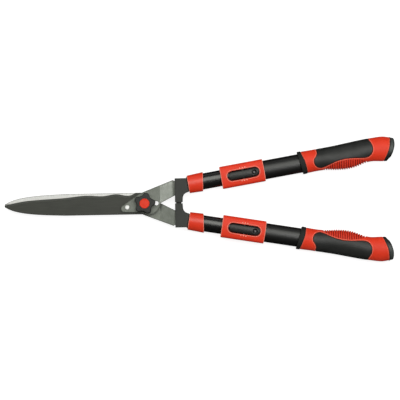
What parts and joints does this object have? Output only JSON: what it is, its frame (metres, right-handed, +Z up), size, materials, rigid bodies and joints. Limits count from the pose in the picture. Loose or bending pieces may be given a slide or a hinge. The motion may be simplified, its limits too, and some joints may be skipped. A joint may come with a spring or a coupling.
{
  "type": "telescopic hedge shears",
  "caption": "Hedge shears with wavy blades, star tension knob, buffer yokes and two telescopic oval-tube handles with rocker locks and soft grips.",
  "frame": {"origin": "centre of the closed, collapsed shears' outline, on the surface they lie on", "axes": "+X along the shears towards the handle ends, +Y towards the right handle, +Z up out of the front blade's face"},
  "size_m": [0.6928, 0.2215, 0.0364],
  "materials": {
    "blade_coating": "dark non-stick coating on ground steel, satin",
    "lever_steel": "grey plated steel plate, satin",
    "bright_steel": "bright zinc plated steel",
    "tube_paint": "black powder coat, satin",
    "red_plastic": "moulded red plastic, semi-gloss",
    "black_plastic": "moulded black plastic, fine grain",
    "yoke_plastic": "moulded dark grey plastic, fine grain",
    "soft_overlay": "soft dark grey rubber overlay, matte",
    "buffer_rubber": "black rubber"
  },
  "bodies": {
    "left_half": {"back_blade": "blade_coating", "back_lever": "lever_steel", "back_blade_rivet": "bright_steel", "pivot_bolt": "bright_steel", "pivot_washer": "bright_steel", "left_yoke": "yoke_plastic", "left_buffer": "buffer_rubber", "left_tang_rivet": "bright_steel", "left_collar": "red_plastic", "left_inner_tube": "tube_paint", "left_guide_cap": "black_plastic"},
    "right_half": {"front_blade": "blade_coating", "front_lever": "lever_steel", "front_blade_rivet": "bright_steel", "spring_washer": "bright_steel", "right_yoke": "yoke_plastic", "right_buffer": "buffer_rubber", "right_tang_rivet": "bright_steel", "right_collar": "red_plastic", "right_inner_tube": "tube_paint", "right_guide_cap": "black_plastic"},
    "knob": {"tension_knob": "black_plastic", "knob_nut": "bright_steel", "knob_cap": "red_plastic"},
    "right_handle": {"right_outer_tube": "tube_paint", "right_lock_sleeve": "red_plastic", "right_rocker_pin": "bright_steel", "right_rocker_spring": "bright_steel", "right_grip_ring": "black_plastic", "right_grip_core": "red_plastic", "right_grip_overlay": "soft_overlay", "right_end_cap": "black_plastic"},
    "left_handle": {"left_outer_tube": "tube_paint", "left_lock_sleeve": "red_plastic", "left_rocker_pin": "bright_steel", "left_rocker_spring": "bright_steel", "left_grip_ring": "black_plastic", "left_grip_core": "red_plastic", "left_grip_overlay": "soft_overlay", "left_end_cap": "black_plastic"},
    "right_rocker": {"right_lock_rocker": "soft_overlay"},
    "left_rocker": {"left_lock_rocker": "soft_overlay"}
  },
  "joints": [
    {"name": "blade_pivot", "type": "hinge", "parent": "left_half", "child": "right_half", "pos_m": [-0.0981, 0, 0.017], "axis": [0, 0, 1], "range_deg": [0, 70]},
    {"name": "tension_turn", "type": "hinge", "parent": "left_half", "child": "knob", "pos_m": [-0.0981, 0, 0.017], "axis": [0, 0, 1], "range_deg": [-90, 270]},
    {"name": "right_telescope", "type": "slide", "parent": "right_half", "child": "right_handle", "axis": [0.9862, 0.1656, 0], "range_m": [0, 0.18]},
    {"name": "left_telescope", "type": "slide", "parent": "left_half", "child": "left_handle", "axis": [0.9862, -0.1656, 0], "range_m": [0, 0.18]},
    {"name": "right_lock", "type": "hinge", "parent": "right_handle", "child": "right_rocker", "pos_m": [0.07768, 0.04918, 0.0305], "axis": [-0.1656, 0.9862, 0], "range_deg": [0, 8], "stiffness_Nm_per_rad": 0.6, "springref_deg": -5.73, "deforming": ["right_rocker_spring"]},
    {"name": "left_lock", "type": "hinge", "parent": "left_handle", "child": "left_rocker", "pos_m": [0.07768, -0.04918, 0.0305], "axis": [0.1656, 0.9862, 0], "range_deg": [0, 8], "stiffness_Nm_per_rad": 0.6, "springref_deg": -5.73, "deforming": ["left_rocker_spring"]}
  ]
}
